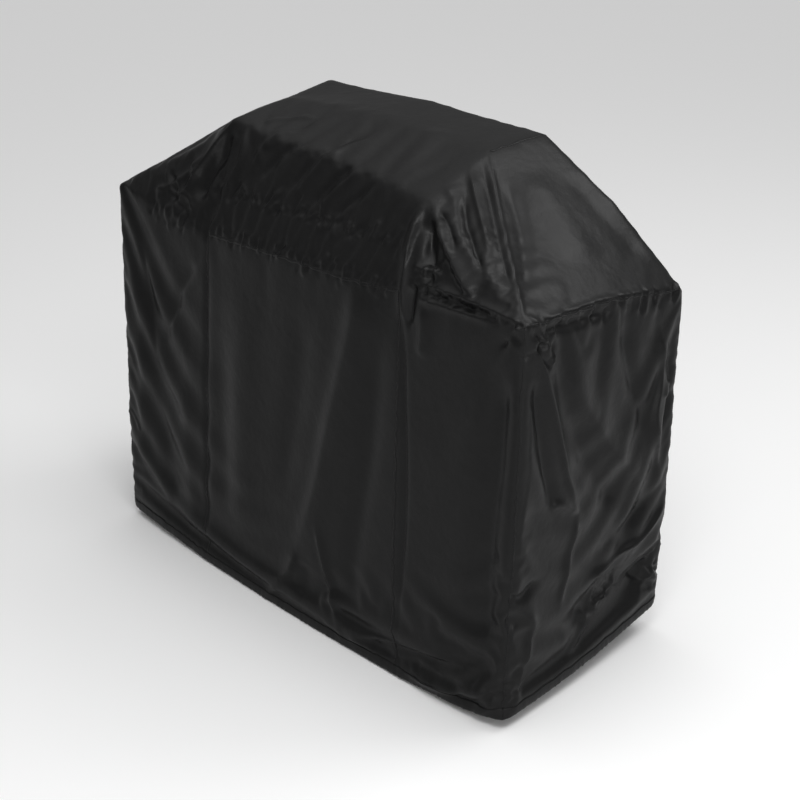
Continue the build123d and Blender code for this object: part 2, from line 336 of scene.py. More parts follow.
# ---------------------------------------------------------------------------
# Folds: each is a line on the hanging cloth with a height, a width and a profile
# ---------------------------------------------------------------------------
# height and width in metres; sharp runs from 0, a soft swell, to 1, a crease;
# lean makes the side on the line's right hand steeper (above 0) or gentler;
# the line's knots are in millimetres.
FOLDS = [
    # front wall, left panel
    (-0.007, 0.02, 0.4, 0.3, [(-600, -285, 850), (-578, -285, 690), (-543, -285, 500)]),
    (-0.006, 0.018, 0.4, -0.3, [(-360, -285, 840), (-440, -285, 730), (-520, -285, 560)]),
    (0.006, 0.03, 0.1, 0.0, [(-640, -285, 800), (-620, -285, 500), (-640, -300, 150)]),
    (-0.008, 0.04, 0.1, 0.0, [(-560, -285, 480), (-520, -290, 300), (-470, -300, 80)]),
    (0.006, 0.04, 0.1, 0.0, [(-420, -285, 560), (-420, -290, 300), (-380, -300, 60)]),
    # front wall, the long swell beside the middle and its shallow valleys
    (0.013, 0.05, 0.2, 0.35, [(245, -271, 960), (225, -274, 826), (157, -279, 581), (101, -284, 349),
        (23, -300, 150)]),
    (-0.009, 0.036, 0.2, 0.0, [(300, -275, 900), (285, -280, 600), (245, -290, 300), (230, -300, 120)]),
    (-0.006, 0.04, 0.1, 0.0, [(60, -275, 850), (20, -280, 560), (-40, -290, 300)]),
    (0.007, 0.06, 0.0, 0.0, [(-180, -275, 860), (-190, -280, 500), (-200, -300, 120)]),
    (-0.006, 0.045, 0.0, 0.0, [(-270, -275, 700), (-265, -285, 400), (-250, -300, 150)]),
    # front wall, folds that end at the hem
    (0.009, 0.013, 0.6, -0.4, [(40, -296, 190), (0, -304, 110), (-85, -312, 4)]),
    (0.008, 0.012, 0.6, 0.4, [(112, -292, 290), (150, -300, 160), (212, -312, 6)]),
    (-0.006, 0.03, 0.2, 0.0, [(75, -300, 170), (60, -310, 60)]),
    (0.015, 0.018, 0.5, 0.5, [(215, -306, 26), (330, -303, 75), (480, -300, 108), (600, -296, 125)]),
    (-0.01, 0.02, 0.3, 0.0, [(300, -310, 40), (420, -308, 60), (560, -304, 70), (660, -300, 45)]),
    (0.012, 0.015, 0.5, 0.4, [(420, -312, 30), (540, -308, 40), (640, -302, 75), (700, -295, 110)]),
    (0.007, 0.012, 0.5, 0.2, [(640, -303, 15), (690, -297, 60), (700, -292, 120)]),
    # front wall, the seams that run up to the hood's corners
    (-0.006, 0.009, 0.9, 0.2, [(-316, -272, 915), (-327, -276, 745), (-338, -282, 470),
        (-335, -286, 240), (-338, -305, 30)]),
    (-0.007, 0.009, 0.9, -0.2, [(374, -272, 940), (390, -277, 709), (404, -281, 467),
        (400, -300, 100)]),
    (0.006, 0.018, 0.3, 0.3, [(435, -276, 940), (440, -278, 880), (436, -279, 820)]),
    # front right corner
    (-0.016, 0.036, 0.3, -0.2, [(668, -276, 900), (672, -278, 690), (655, -284, 400),
        (668, -290, 120)]),
    (0.01, 0.03, 0.2, 0.0, [(720, -268, 900), (722, -272, 600), (722, -280, 300)]),
    (0.01, 0.01, 0.7, 0.3, [(731, -262, 960), (726, -219, 880), (723, -186, 790), (719, -133, 643),
        (714, -65, 469)]),
    (-0.012, 0.018, 0.4, 0.0, [(728, -232, 860), (724, -215, 760), (720, -180, 620), (718, -150, 500)]),
    (0.008, 0.01, 0.7, 0.0, [(714, -62, 475), (720, -120, 520), (721, -165, 535)]),
    (0.008, 0.01, 0.6, 0.0, [(714, -65, 469), (714, -92, 365), (716, -110, 250)]),
    (-0.01, 0.014, 0.5, 0.0, [(724, -290, 350), (722, -240, 335), (718, -190, 360)]),
    (0.009, 0.01, 0.6, 0.0, [(722, -250, 315), (718, -205, 250), (720, -230, 150), (720, -250, 40)]),
    # right end: sweeping folds from the shelf corner and the curved crease low down
    (0.012, 0.03, 0.3, 0.4, [(724, -185, 900), (716, -60, 730), (708, 60, 580), (698, 200, 460)]),
    (-0.012, 0.03, 0.3, 0.0, [(722, -120, 740), (712, -20, 560), (706, 100, 430)]),
    (-0.009, 0.022, 0.3, 0.0, [(716, 60, 900), (712, 100, 760), (702, 170, 600)]),
    (0.01, 0.014, 0.6, 0.2, [(706, 190, 860), (702, 215, 720), (698, 205, 600), (694, 250, 440)]),
    (-0.01, 0.012, 0.5, 0.0, [(704, 245, 780), (700, 250, 680), (698, 240, 560)]),
    (0.007, 0.01, 0.6, 0.0, [(700, 250, 700), (699, 232, 660)]),
    (0.011, 0.011, 0.7, 0.3, [(692, 292, 370), (697, 200, 312), (706, 44, 292), (710, -10, 280)]),
    (-0.01, 0.024, 0.3, 0.0, [(698, 260, 430), (702, 150, 370), (708, 20, 340)]),
    (-0.026, 0.055, 0.2, 0.0, [(708, -90, 160), (704, 40, 190), (698, 160, 200), (692, 300, 200)]),
    (0.01, 0.012, 0.6, 0.0, [(706, -20, 200), (704, 10, 150), (708, -60, 90)]),
    (0.009, 0.01, 0.6, 0.0, [(704, 50, 240), (703, 35, 200), (702, 60, 150)]),
    # right end, under the shelf edge
    (0.007, 0.009, 0.6, 0.0, [(731, -262, 978), (722, -100, 972), (716, 20, 962), (704, 260, 918)]),
    (-0.011, 0.012, 0.4, 0.0, [(730, -225, 955), (722, -100, 942), (716, 20, 932)]),
    # hood, left edge
    (0.016, 0.011, 0.8, -0.3, [(-346, -128, 1188), (-385, -180, 1110), (-430, -235, 1020),
        (-462, -275, 950)]),
    (-0.016, 0.02, 0.4, 0.0, [(-330, -170, 1150), (-365, -215, 1060), (-395, -255, 985)]),
    (0.01, 0.01, 0.7, 0.0, [(-325, -165, 1160), (-345, -215, 1060), (-350, -250, 990)]),
    (0.008, 0.01, 0.6, 0.0, [(-400, -180, 1090), (-480, -235, 1010), (-560, -262, 975)]),
    (0.007, 0.01, 0.6, 0.0, [(-300, -150, 1175), (-285, -200, 1100), (-300, -240, 1020)]),
    # hood, creases that run up over its front edge
    (-0.007, 0.012, 0.5, 0.2, [(-90, -215, 1060), (-60, -180, 1120), (-10, -110, 1185),
        (20, -40, 1205)]),
    (0.006, 0.012, 0.5, -0.3, [(-60, -215, 1060), (-30, -180, 1120), (15, -110, 1183),
        (50, -45, 1203)]),
    (-0.007, 0.011, 0.5, 0.2, [(0, -222, 1050), (40, -190, 1105), (90, -140, 1160)]),
    (0.006, 0.011, 0.5, -0.3, [(30, -222, 1050), (70, -190, 1105), (120, -145, 1155)]),
    (-0.006, 0.012, 0.5, 0.2, [(-200, -215, 1070), (-160, -180, 1130), (-100, -130, 1180)]),
    (0.006, 0.012, 0.5, -0.2, [(-240, -200, 1090), (-210, -150, 1160), (-160, -100, 1195)]),
    (0.005, 0.01, 0.5, 0.0, [(-300, -130, 1185), (-230, -80, 1205), (-150, -40, 1210)]),
    (-0.006, 0.01, 0.5, 0.0, [(90, -222, 1048), (130, -195, 1090), (180, -160, 1135)]),
    (0.005, 0.04, 0.1, 0.0, [(250, -150, 1150), (200, -50, 1200), (180, 60, 1225)]),
    # pleats between the hood's right edge and the slope
    (0.022, 0.013, 0.7, -0.2, [(346, -176, 1138), (352, -228, 1050), (378, -270, 960),
        (388, -278, 880)]),
    (-0.03, 0.017, 0.4, 0.2, [(372, -190, 1105), (405, -225, 1050), (440, -245, 1010)]),
    (0.018, 0.016, 0.5, 0.4, [(378, -178, 1110), (447, -210, 1068), (530, -243, 1015),
        (580, -258, 992)]),
    (-0.011, 0.009, 0.5, 0.0, [(385, -172, 1125), (430, -190, 1100), (490, -222, 1056)]),
    (0.004, 0.02, 0.3, 0.4, [(352, -120, 1165), (400, -140, 1138), (450, -180, 1105)]),
    (-0.018, 0.0085, 0.4, 0.0, [(395, -105, 1150), (450, -155, 1112), (530, -205, 1066),
        (570, -228, 1038)]),
    (0.009, 0.01, 0.5, 0.3, [(362, -55, 1185), (420, -98, 1146), (500, -153, 1096), (545, -188, 1068)]),
    (-0.01, 0.012, 0.4, 0.0, [(372, -25, 1192), (470, -92, 1130), (580, -175, 1058),
        (660, -230, 1010)]),
    (0.008, 0.011, 0.4, -0.3, [(355, 10, 1216), (450, -60, 1155), (542.5, -128.5, 1096),
        (650, -210, 1030), (722, -265, 985)]),
    (-0.007, 0.02, 0.2, 0.0, [(430, 0, 1175), (550, -80, 1090), (680, -210, 995)]),
    # crumpled front edge of the right shelf
    (0.01, 0.008, 0.6, 0.3, [(405, -262, 988), (500, -266, 990), (620, -270, 988), (722, -270, 982)]),
    (-0.007, 0.007, 0.5, 0.0, [(420, -270, 970), (520, -272, 974), (640, -274, 974)]),
    (0.008, 0.007, 0.6, 0.0, [(410, -274, 955), (520, -275, 960), (650, -275, 965)]),
    (-0.02, 0.009, 0.5, 0.0, [(402, -270, 985), (400, -276, 940), (396, -280, 880)]),
    # right slope, slack across it
    (0.006, 0.05, 0.0, 0.0, [(420, 60, 1170), (540, 50, 1080), (640, 30, 1010)]),
    (-0.006, 0.04, 0.1, 0.0, [(450, 170, 1150), (560, 180, 1060), (660, 210, 980)]),
]

STEEPEST = 1.15
SWELL_START = 0.312
SWELL_ROOM = 0.012

# Rows of small puckers across a gathered line: from, to, count, length, height
GATHERS = [
    ((-0.350, -0.230, 1.030), (0.330, -0.225, 1.045), 60, 0.045, 0.0045, (0.25, -0.15, 1.0)),
    ((-0.560, -0.272, 0.935), (0.340, -0.272, 0.950), 64, 0.040, 0.0040, (0.20, 0.0, 1.0)),
    ((0.410, -0.268, 0.975), (0.720, -0.272, 0.978), 30, 0.030, 0.0040, (0.8, -0.1, 0.3)),
    ((0.728, -0.240, 0.962), (0.700, 0.270, 0.905), 26, 0.045, 0.0045, (0.1, 0.3, 1.0)),
    ((-0.350, 0.300, 0.945), (0.350, 0.300, 0.945), 44, 0.045, 0.0040, (0.1, 0.0, 1.0)),
    ((-0.722, -0.240, 0.955), (-0.716, 0.270, 0.945), 30, 0.045, 0.0045, (-0.1, 0.2, 1.0)),
]

# Crumpled knots: centre, radius, count, height
CRUMPLES = [
    ((0.727, -0.205, 0.905), 0.040, 9, 0.0075),
    ((0.704, 0.085, 0.215), 0.040, 7, 0.0065),
    ((0.694, 0.250, 0.185), 0.050, 9, 0.0070),
    ((0.430, -0.245, 1.000), 0.030, 10, 0.0060),
    ((-0.470, -0.255, 0.985), 0.060, 14, 0.0045),
    ((-0.705, 0.200, 0.880), 0.060, 14, 0.0060),
    ((-0.690, -0.200, 0.300), 0.080, 14, 0.0050),
    ((0.300, 0.290, 0.300), 0.120, 18, 0.0060),
    ((-0.400, 0.290, 0.600), 0.120, 18, 0.0060),
]


def rounded_line(knots, pieces=8):
    """A smooth line through the knots (Catmull-Rom)."""
    knots = np.array(knots, float)
    padded = np.vstack([2 * knots[0] - knots[1], knots, 2 * knots[-1] - knots[-2]])
    line = []
    for k in range(1, len(padded) - 2):
        a, b, c, d = padded[k - 1:k + 3]
        for t in np.arange(pieces) / pieces:
            square = (2 * a - 5 * b + 4 * c - d) * t**2
            line.append(0.5 * (2 * b + (c - a) * t + square + (3 * b - a - 3 * c + d) * t**3))
    return np.array(line + [knots[-1]])


def fold(raised, points, normals, height, width, sharp, lean, knots, fade=0.22):
    """Adds a fold along a line to `raised`, the height of the cloth over its smooth shape."""
    height = math.copysign(min(abs(height), STEEPEST * width), height)
    line = rounded_line(knots)
    reach = 2.6 * width
    above = points > line.min(0) - reach - 0.03
    near = np.flatnonzero((above & (points < line.max(0) + reach + 0.03)).all(1))
    if not len(near):
        return
    p = points[near]
    start, step = line[:-1], np.diff(line, axis=0)
    along = np.einsum("psk,sk->ps", p[:, None] - start[None], step) / (step**2).sum(1)
    along = np.clip(along, 0, 1)
    gap = p[:, None] - (start[None] + along[..., None] * step[None])
    off_surface = np.einsum("psk,pk->ps", gap, normals[near])
    gap -= off_surface[..., None] * normals[near][:, None]
    distance = np.linalg.norm(gap, axis=2) + 10 * np.maximum(np.abs(off_surface) - 0.05, 0)
    best = distance.argmin(1)
    rows = np.arange(len(p))
    gap, distance = gap[rows, best], distance[rows, best]
    place = (best + along[rows, best]) / len(step)
    direction = step[best] / np.linalg.norm(step[best], axis=1, keepdims=True)
    side = np.einsum("pk,pk->p", gap, np.cross(direction, normals[near]))
    breadth = width * np.where(side > 0, 1 - lean, 1 + lean)
    profile = np.exp(-((distance / breadth) ** (2 - 0.8 * sharp)))
    ends = np.clip(np.minimum(place, 1 - place) / fade, 0, 1)
    ends = ends * ends * (3 - 2 * ends)
    raised[near] += height * profile * (0.12 + 0.88 * ends)


def unit(vector):
    vector = np.array(vector, float)
    return vector / np.linalg.norm(vector)


def crease_cloth(points, faces, edges):
    """The folds, gathers and crumples, as heights over the smooth shape."""
    normals = normals_of(points, faces)
    normals = smooth(normals, edges, 6, np.ones(len(points)))
    normals /= np.linalg.norm(normals, axis=1, keepdims=True)
    raised = np.zeros(len(points))
    for height, width, sharp, lean, knots in FOLDS:
        fold(raised, points, normals, height, width, sharp, lean, np.array(knots) / 1000)
    for start, end, count, length, height, across in GATHERS:
        for k in range(count):
            share = (k + rng.uniform(0.1, 0.9)) / count
            middle = np.array(start) * (1 - share) + np.array(end) * share
            lift = unit(np.array(across) + rng.normal(0, 0.36, 3)) * length * rng.uniform(0.25, 1.0)
            middle = middle + lift * rng.uniform(-0.5, 0.5)
            size = height * rng.uniform(0.15, 1.1) * (1 if k % 2 else -1)
            width = rng.uniform(0.0045, 0.0090)
            fold(raised, points, normals, size, width, 0.4, 0.0, [middle - lift, middle, middle + lift])
    for centre, radius, count, height in CRUMPLES:
        for k in range(count):
            middle = np.array(centre) + rng.normal(0, 0.45, 3) * radius
            lift = unit(rng.normal(0, 1, 3)) * radius * rng.uniform(0.6, 1.3)
            bend = rng.normal(0, 0.12, 3) * radius
            size = height * rng.uniform(0.5, 1.2) * (1 if k % 2 else -1)
            width = rng.uniform(0.006, 0.011)
            knots = [middle - lift, middle + bend, middle + lift]
            fold(raised, points, normals, size, width, 0.6, 0.0, knots)
    points = points + normals * raised[:, None]
    # the folds near the front hem swell only so far
    beyond = np.maximum(-SWELL_START - points[:, 1], 0)
    points[:, 1] += beyond - SWELL_ROOM * np.tanh(beyond / SWELL_ROOM)
    return points


def mesh_object(name, points, faces):
    mesh = bpy.data.meshes.new(name)
    mesh.vertices.add(len(points))
    mesh.vertices.foreach_set("co", np.asarray(points, dtype=np.float32).ravel())
    mesh.loops.add(faces.size)
    mesh.loops.foreach_set("vertex_index", faces.astype(np.int32).ravel())
    mesh.polygons.add(len(faces))
    mesh.polygons.foreach_set("loop_start", np.arange(0, faces.size, faces.shape[1], dtype=np.int32))
    mesh.update()
    mesh.validate()
    mesh.polygons.foreach_set("use_smooth", np.ones(len(mesh.polygons), bool))
    obj = bpy.data.objects.new(name, mesh)
    bpy.context.collection.objects.link(obj)
    return obj


def corner_nearness(points, reach):
    """1 on the front right corner's line, falling to 0 at `reach` from it."""
    gap = np.hypot(points[:, 0] - HALF_X, points[:, 1] + HALF_Y)
    below_shelf = np.clip((0.93 - points[:, 2]) / 0.12, 0, 1)
    return np.clip(1 - gap / reach, 0, 1) ** 0.5 * below_shelf


def rim_of(faces, count):
    """The open edge of the cloth: its edges, and which points lie on it."""
    sides = np.sort(np.vstack([faces[:, [0, 1]], faces[:, [1, 2]], faces[:, [2, 0]]]), axis=1)
    unique, uses = np.unique(sides, axis=0, return_counts=True)
    rim_edges = unique[uses == 1]
    on_rim = np.zeros(count, bool)
    on_rim[rim_edges.ravel()] = True
    return rim_edges, on_rim


def smooth_rim(points, rim_edges, on_rim, rounds):
    """Rounds the open edge along itself."""
    points = points.copy()
    for _ in range(rounds):
        mean = neighbour_mean(points, rim_edges, len(points))
        points[on_rim] += 0.5 * (mean - points)[on_rim]
    return points


def subdivide(points, original, faces, flat, panel_of_face):
    """Splits every triangle in four, in space, in the pattern and in the flat cut."""
    pairs = np.sort(np.vstack([faces[:, [0, 1]], faces[:, [1, 2]], faces[:, [2, 0]]]), axis=1)
    unique, inverse = np.unique(pairs, axis=0, return_inverse=True)
    middle = inverse.ravel().reshape(3, -1).T + len(points)
    new_points = np.vstack([points, points[unique].mean(1)])
    new_original = np.vstack([original, original[unique].mean(1)])
    a, b, c = faces.T
    ab, bc, ca = middle.T
    new_faces = np.vstack([np.stack(t, 1) for t in ((a, ab, ca), (ab, b, bc), (ca, bc, c), (ab, bc, ca))])
    fa, fb, fc = flat[:, 0], flat[:, 1], flat[:, 2]
    fab, fbc, fca = (fa + fb) / 2, (fb + fc) / 2, (fc + fa) / 2
    quarters = ((fa, fab, fca), (fab, fb, fbc), (fca, fbc, fc), (fab, fbc, fca))
    new_flat = np.vstack([np.stack(t, 1) for t in quarters])
    return new_points, new_original, new_faces, new_flat, np.tile(panel_of_face, 4)


def hang_cloth(points, original, faces, on_rim):
    """Relaxes the cloth by simulation: slack cloth buckles, and ridges and hem hold."""
    obj = mesh_object("cloth_being_hung", points, faces)
    edges = edges_of(faces)
    normal = normals_of(points, faces)
    bend = np.linalg.norm(neighbour_mean(normal, edges, len(points)) - normal, axis=1)
    bend = smooth(bend[:, None], edges, 3, np.ones(len(points)))[:, 0]
    hold = HOLD_FLAT + HOLD_RIDGE * np.clip(bend / RIDGE_BEND, 0, 1)
    hold = np.where(original[:, 2] > 1.01 * SHELF_Z, np.maximum(hold, HOLD_TOP), hold)
    hold = np.where(original[:, 2] < 1.01 * HEM_Z, 1.0, hold)
    hold = np.where(on_rim, 1.0, hold)
    slack = np.zeros(len(points))
    for centre, reach, amount in SLACK:
        distance = np.linalg.norm((original - np.array(centre)) / np.array(reach), axis=1)
        same_storey = (original[:, 2] > SHELF_Z + 0.001) == (centre[2] > SHELF_Z)
        slack = np.maximum(slack, amount * np.clip(1.6 - distance, 0, 1) * same_storey)
    for name, values in (("hold", hold), ("tight", 1 - slack)):
        group = obj.vertex_groups.new(name=name)
        levels = np.round(np.clip(values, 0, 1) * GROUP_LEVELS).astype(int)
        for level in range(GROUP_LEVELS + 1):
            members = np.flatnonzero(levels == level).tolist()
            if members:
                group.add(members, level / GROUP_LEVELS, "REPLACE")
    cloth = obj.modifiers.new("Cloth", "CLOTH")
    settings = cloth.settings
    settings.quality = 4
    settings.mass = 0.10
    settings.air_damping = 3.0
    settings.tension_stiffness = settings.compression_stiffness = 18
    settings.shear_stiffness = 8
    settings.bending_stiffness = 6.0
    settings.vertex_group_mass = "hold"
    settings.pin_stiffness = 1.0
    settings.vertex_group_shrink = "tight"
    settings.shrink_min = -SLACK_GROWTH
    settings.shrink_max = 0.0
    settings.effector_weights.gravity = 0.5
    cloth.collision_settings.use_collision = False
    scene = bpy.context.scene
    cloth.point_cache.frame_start, cloth.point_cache.frame_end = 1, SIM_FRAMES
    for number in range(1, SIM_FRAMES + 1):
        scene.frame_set(number)
    hung = obj.evaluated_get(bpy.context.evaluated_depsgraph_get()).data
    moved = np.zeros(len(points) * 3, dtype=np.float32)
    hung.vertices.foreach_get("co", moved)
    scene.frame_set(1)
    mesh = obj.data
    bpy.data.objects.remove(obj)
    bpy.data.meshes.remove(mesh)
    travel = moved.reshape(-1, 3).astype(float) - points
    length = np.linalg.norm(travel, axis=1, keepdims=True)
    return points + travel * np.minimum(1, MOST_TRAVEL / np.maximum(length, 1e-9))


SIM_FRAMES = 30
MOST_TRAVEL = 0.030
# How strongly the cloth keeps its place: flat, on a ridge as well, and above the shelf
HOLD_FLAT = 0.13
HOLD_RIDGE = 0.5
HOLD_TOP = 0.19
RIDGE_BEND = 0.18
GROUP_LEVELS = 40
SLACK_GROWTH = 0.018
# Where the cloth has slack to buckle: centre and reach in the pattern, and how much
SLACK = [
    ((0.735, 0.02, 0.60), (0.15, 0.30, 0.45), 0.28),
    ((0.735, -0.15, 0.90), (0.12, 0.20, 0.15), 1.0),
    ((-0.735, 0.0, 0.60), (0.15, 0.35, 0.50), 0.5),
    ((-0.55, -0.25, 1.00), (0.25, 0.15, 0.20), 0.9),
    ((0.0, -0.25, 1.02), (0.40, 0.15, 0.08), 0.8),
    ((0.0, 0.305, 0.60), (0.80, 0.10, 0.50), 0.45),
    ((-0.60, -0.305, 0.70), (0.18, 0.10, 0.30), 0.35),
    ((0.55, -0.25, 1.02), (0.20, 0.12, 0.10), 0.7),
    ((0.45, -0.305, 0.10), (0.30, 0.10, 0.12), 0.7),
    ((-0.10, -0.10, 1.18), (0.30, 0.10, 0.06), 0.5),
]
SMOOTH_ROUNDS = 6
CORNER_ROUNDS = 40
CORNER_REACH = 0.08

pattern = Pattern()
faces = pattern.faces
edges = edges_of(faces)
rim_edges, on_rim = rim_of(faces, len(pattern.points))
cloth = settle(pattern.points)
free = np.where(on_rim, 0.0, 1.0)
cloth = smooth_rim(cloth, rim_edges, on_rim, SMOOTH_ROUNDS)
cloth = smooth(cloth, edges, SMOOTH_ROUNDS, free)
cloth = smooth(cloth, edges, CORNER_ROUNDS, free * corner_nearness(pattern.points, CORNER_REACH))
cloth = hang_cloth(cloth, pattern.points, faces, on_rim)
cloth, original, faces, flat, panel_of_face = subdivide(
    cloth, pattern.points, faces, pattern.flat, pattern.panel_of_face
)
edges = edges_of(faces)
cloth = smooth(cloth, edges, 2, np.ones(len(cloth)))
cloth = crease_cloth(cloth, faces, edges)

# ---------------------------------------------------------------------------
# Materials
# ---------------------------------------------------------------------------
def new_material(name):
    material = bpy.data.materials.new(name)
    material.use_nodes = True
    return material, material.node_tree.nodes, material.node_tree.links


def add_node(nodes, kind, values=None, **settings):
    """A new shader node with its settings made, then its inputs' values."""
    node = nodes.new("ShaderNode" + kind)
    for name, value in settings.items():
        setattr(node, name, value)
    for name, value in (values or {}).items():
        node.inputs[name].default_value = value
    return node


def tone_between(nodes, links, source, dark, light, shader):
    """Colours the shader between two tones, as the source runs from 0 to 1."""
    tone = add_node(nodes, "Mix", {}, data_type="RGBA")
    tone.inputs["A"].default_value = dark
    tone.inputs["B"].default_value = light
    links.new(source, tone.inputs["Factor"])
    links.new(tone.outputs["Result"], shader.inputs["Base Color"])


def cloth_nodes(material, nodes, links, base, rough, pitch, crinkle):
    """Weave, crinkle and uneven sheen of a coated cloth, from its cut and its place."""
    shader = nodes["Principled BSDF"]
    cut = add_node(nodes, "UVMap", uv_map="cut")
    place = add_node(nodes, "TexCoord")
    weave = add_node(nodes, "Mix", {"Factor": 0.5}, data_type="FLOAT")
    for socket, direction in (("A", "X"), ("B", "Y")):
        threads = add_node(
            nodes, "TexWave", {"Scale": 0.31 / pitch, "Distortion": 0.6, "Detail Scale": 3.0},
            wave_type="BANDS", bands_direction=direction,
        )
        links.new(cut.outputs["UV"], threads.inputs["Vector"])
        links.new(threads.outputs["Fac"], weave.inputs[socket])
    coarse, fine = (
        add_node(nodes, "TexNoise", {"Scale": scale, "Detail": detail})
        for scale, detail in ((9.0, 5.0), (70.0, 4.0))
    )
    below = None
    for height, strength, distance in (
        (coarse.outputs["Fac"], 1.0, crinkle),
        (fine.outputs["Fac"], 1.0, crinkle * 0.06),
        (weave.outputs["Result"], 0.35, pitch * 0.06),
    ):
        bump = add_node(nodes, "Bump", {"Strength": strength, "Distance": distance})
        links.new(height, bump.inputs["Height"])
        if below:
            links.new(below.outputs["Normal"], bump.inputs["Normal"])
        below = bump
    links.new(below.outputs["Normal"], shader.inputs["Normal"])
    for noise in (coarse, fine):
        links.new(place.outputs["Object"], noise.inputs["Vector"])
    rub = add_node(nodes, "MapRange", {"To Min": rough - 0.05, "To Max": rough + 0.06})
    links.new(coarse.outputs["Fac"], rub.inputs["Value"])
    links.new(rub.outputs["Result"], shader.inputs["Roughness"])
    dark, light = (base * 0.8, base * 0.8, base * 0.81, 1), (base * 1.25, base * 1.25, base * 1.27, 1)
    tone_between(nodes, links, fine.outputs["Fac"], dark, light, shader)
    return shader


def cloth_material(name, base, rough, pitch, crinkle, specular):
    material, nodes, links = new_material(name)
    shader = cloth_nodes(material, nodes, links, base, rough, pitch, crinkle)
    shader.inputs["Specular IOR Level"].default_value = specular
    return material


def thread_material():
    material, nodes, links = new_material("polyester_thread")
    shader = nodes["Principled BSDF"]
    place = add_node(nodes, "TexCoord")
    ply = add_node(nodes, "TexNoise", {"Scale": 900.0})
    links.new(place.outputs["Object"], ply.inputs["Vector"])
    dark, light = (0.010, 0.010, 0.010, 1), (0.030, 0.030, 0.031, 1)
    tone_between(nodes, links, ply.outputs["Fac"], dark, light, shader)
    shader.inputs["Roughness"].default_value = 0.55
    shader.inputs["Specular IOR Level"].default_value = 0.35
    return material


def elastic_material():
    material, nodes, links = new_material("braided_elastic")
    shader = nodes["Principled BSDF"]
    place = add_node(nodes, "TexCoord")
    braid = add_node(nodes, "TexWave", {"Scale": 200.0, "Distortion": 1.5}, bands_direction="Z")
    links.new(place.outputs["Object"], braid.inputs["Vector"])
    ribs = add_node(nodes, "Bump", {"Distance": 0.0004})
    links.new(braid.outputs["Fac"], ribs.inputs["Height"])
    links.new(ribs.outputs["Normal"], shader.inputs["Normal"])
    tone_between(nodes, links, braid.outputs["Fac"], (0.02, 0.02, 0.02, 1), (0.05, 0.05, 0.05, 1), shader)
    shader.inputs["Roughness"].default_value = 0.7
    return material


def floor_material():
    material, nodes, links = new_material("pale_floor")
    shader = nodes["Principled BSDF"]
    shader.inputs["Roughness"].default_value = 0.9
    shader.inputs["Specular IOR Level"].default_value = 0.0
    path = add_node(nodes, "LightPath")
    seen = path.outputs["Is Camera Ray"]
    tone_between(nodes, links, seen, (0.66, 0.66, 0.66, 1), (0.97, 0.97, 0.97, 1), shader)
    return material


FLOOR_HALF_SIZE = 30.0


def add_floor():
    mesh = bpy.data.meshes.new("floor")
    size = FLOOR_HALF_SIZE
    corners = [(-size, -size, 0), (size, -size, 0), (size, size, 0), (-size, size, 0)]
    mesh.from_pydata(corners, [], [(0, 1, 2, 3)])
    floor = bpy.data.objects.new("floor", mesh)
    floor.location.z = -0.001
    bpy.context.collection.objects.link(floor)
    mesh.materials.append(floor_material())


def add_softbox(name, place, aim, width, height, radiance):
    data = bpy.data.lights.new(name, "AREA")
    data.shape = "RECTANGLE"
    data.size, data.size_y = width, height
    data.energy = radiance * math.pi * width * height
    light = bpy.data.objects.new(name, data)
    light.location = place
    light.rotation_euler = (Vector(aim) - Vector(place)).to_track_quat("-Z", "Y").to_euler()
    bpy.context.collection.objects.link(light)


def add_world():
    world = bpy.data.worlds.new("studio")
    bpy.context.scene.world = world
    world.use_nodes = True
    nodes, links = world.node_tree.nodes, world.node_tree.links
    background = nodes["Background"]
    coords = nodes.new("ShaderNodeTexCoord")
    split = nodes.new("ShaderNodeSeparateXYZ")
    links.new(coords.outputs["Generated"], split.inputs[0])
    ramp = nodes.new("ShaderNodeValToRGB")
    links.new(split.outputs["Z"], ramp.inputs[0])
    ramp.color_ramp.elements[0].position = 0.38
    ramp.color_ramp.elements[0].color = (0.20, 0.20, 0.20, 1)
    ramp.color_ramp.elements[1].position = 0.70
    ramp.color_ramp.elements[1].color = (0.50, 0.50, 0.50, 1)
    high = ramp.color_ramp.elements.new(0.84)
    high.color = (1.0, 1.0, 1.0, 1)
    path = nodes.new("ShaderNodeLightPath")
    mix = nodes.new("ShaderNodeMix")
    mix.data_type = "RGBA"
    links.new(path.outputs["Is Camera Ray"], mix.inputs["Factor"])
    links.new(ramp.outputs["Color"], mix.inputs["A"])
    mix.inputs["B"].default_value = (1, 1, 1, 1)
    links.new(mix.outputs["Result"], background.inputs["Color"])


bpy.context.scene.view_settings.view_transform = "Standard"
add_world()
add_floor()
add_softbox("key", (1.6, 2.2, 3.8), (0.3, 0.0, 0.9), 2.0, 1.6, 3.6)
add_softbox("overhead", (0.25, 0.20, 4.2), (0.35, 0.0, 1.0), 1.3, 1.1, 4.0)
add_softbox("side", (3.4, -1.0, 1.1), (0.4, -0.2, 1.0), 0.8, 1.4, 4.5)
add_softbox("pool", (1.5, -1.1, 2.5), (1.5, -1.1, 0.0), 0.8, 0.8, 9.0)
add_softbox("front", (2.6, -3.2, 1.2), (0.4, 0.0, 0.5), 0.9, 1.8, 2.6)

# ---------------------------------------------------------------------------
# The sewn panels, as separate pieces of one hanging cloth
# ---------------------------------------------------------------------------
CLOTH_THICKNESS = 0.0006
LEAST_FACE_AREA = 5e-7
cloth_normals = normals_of(cloth, faces)
corner_a, corner_b, corner_c = (original[faces[:, k]] for k in range(3))
flat_area = 0.5 * np.linalg.norm(np.cross(corner_b - corner_a, corner_c - corner_a), axis=1)
sound_faces = faces[flat_area > LEAST_FACE_AREA]
cloth_finder = BVHTree.FromPolygons(original.tolist(), sound_faces.tolist())
outlines = panel_outlines()


